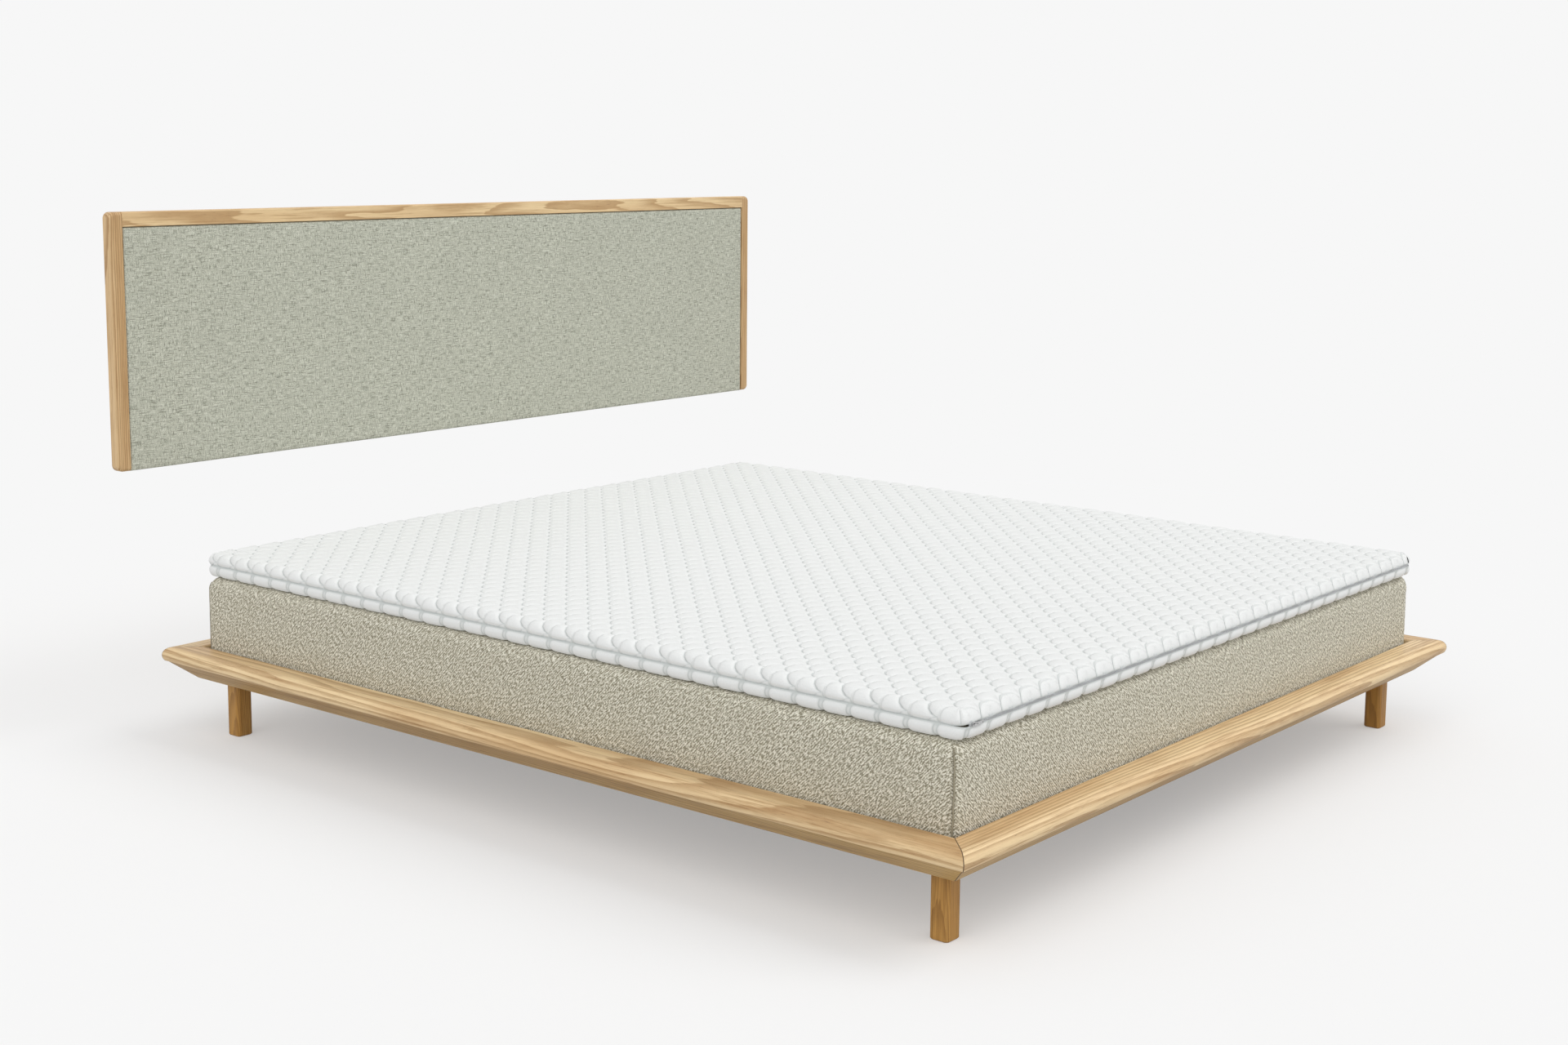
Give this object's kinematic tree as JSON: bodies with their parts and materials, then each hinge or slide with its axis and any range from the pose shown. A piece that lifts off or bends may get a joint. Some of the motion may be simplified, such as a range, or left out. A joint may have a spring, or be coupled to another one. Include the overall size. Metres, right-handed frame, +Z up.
{
  "type": "continental bed",
  "caption": "Low oak platform bed on slim square legs, with a sprung mattress dropped into the frame, a zipped quilted topper and an upholstered headboard hung on the wall",
  "frame": {"origin": "on the floor, under the middle of the whole set of bed and headboard", "axes": "+X across the bed to the right of someone at the foot looking to the head, +Y towards the headboard and the wall, +Z up"},
  "size_m": [2.07, 2.19, 1.145],
  "materials": {
    "oak": "satin",
    "pine": "matte",
    "beech": "matte",
    "plywood": "matte",
    "hardboard": "matte",
    "zinc_steel": "satin",
    "grey_steel": "matte",
    "grey_plastic": "matte",
    "aluminium": "satin",
    "webbing": "matte",
    "twill": "matte",
    "foam": "matte",
    "felt": "matte",
    "spring_pockets": "matte",
    "quilted_knit": "matte",
    "zip_tape": "matte",
    "zip_coil": "matte",
    "zip_metal": "gloss",
    "linen": "matte"
  },
  "bodies": {
    "frame": {"top_board_left": "oak", "top_board_right": "oak", "top_board_foot": "oak", "top_board_head": "oak", "apron_left": "oak", "apron_right": "oak", "apron_foot": "oak", "apron_head": "oak", "leg_foot_left": "oak", "leg_foot_right": "oak", "leg_head_left": "oak", "leg_head_right": "oak", "corner_block_foot_left": "pine", "corner_block_foot_right": "pine", "corner_block_head_left": "pine", "corner_block_head_right": "pine", "mitre_dowels": "beech", "leg_plates": "zinc_steel", "leg_bolts": "zinc_steel", "leg_plate_screws": "zinc_steel", "ledger_left": "pine", "ledger_right": "pine", "ledger_screws": "zinc_steel", "centre_beam": "grey_steel", "beam_cradles": "zinc_steel", "beam_screws": "zinc_steel", "centre_leg_foot_end": "grey_steel", "centre_leg_middle": "grey_steel", "centre_leg_head_end": "grey_steel", "centre_feet": "grey_plastic", "slats_left": "beech", "slats_right": "beech", "slat_webbing": "webbing", "slat_screws": "zinc_steel", "wall_hangers": "aluminium"},
    "mattress": {"mattress_cover": "twill", "mattress_corner_piping": "twill", "mattress_base_foam": "foam", "mattress_border_foam": "foam", "mattress_comfort_foam": "foam", "mattress_springs": "spring_pockets", "mattress_felts": "felt"},
    "topper": {"topper_cover_lower": "quilted_knit", "topper_cover_upper": "quilted_knit", "topper_foam": "foam", "zip_tape": "zip_tape", "zip_coil": "zip_coil"},
    "zip_slider": {"zip_slider": "zip_metal"},
    "zip_pull": {"zip_pull": "zip_metal"},
    "headboard": {"headboard_stile_left": "oak", "headboard_stile_right": "oak", "headboard_top_rail": "oak", "headboard_dowels": "beech", "headboard_linen": "linen", "headboard_pad_foam": "foam", "headboard_pad_board": "hardboard", "headboard_back_board": "plywood", "headboard_back_screws": "zinc_steel", "headboard_hangers": "aluminium", "hanger_screws": "zinc_steel"}
  },
  "joints": [
    {"name": "mattress_lift", "type": "slide", "parent": "frame", "child": "mattress", "axis": [0, 0, 1], "range_m": [0, 0.6]},
    {"name": "topper_lift", "type": "slide", "parent": "mattress", "child": "topper", "axis": [0, 0, 1], "range_m": [0, 0.3]},
    {"name": "headboard_lift", "type": "slide", "parent": "frame", "child": "headboard", "axis": [0, 0, 1], "range_m": [0, 0.025]},
    {"name": "zip_travel", "type": "slide", "parent": "topper", "child": "zip_slider", "axis": [1, 0, 0], "range_m": [0, 1.717]},
    {"name": "zip_pull_swing", "type": "hinge", "parent": "zip_slider", "child": "zip_pull", "pos_m": [-0.8585, -1.03715, 0.3811], "axis": [0, 0, -1], "range_deg": [0, 165]}
  ]
}
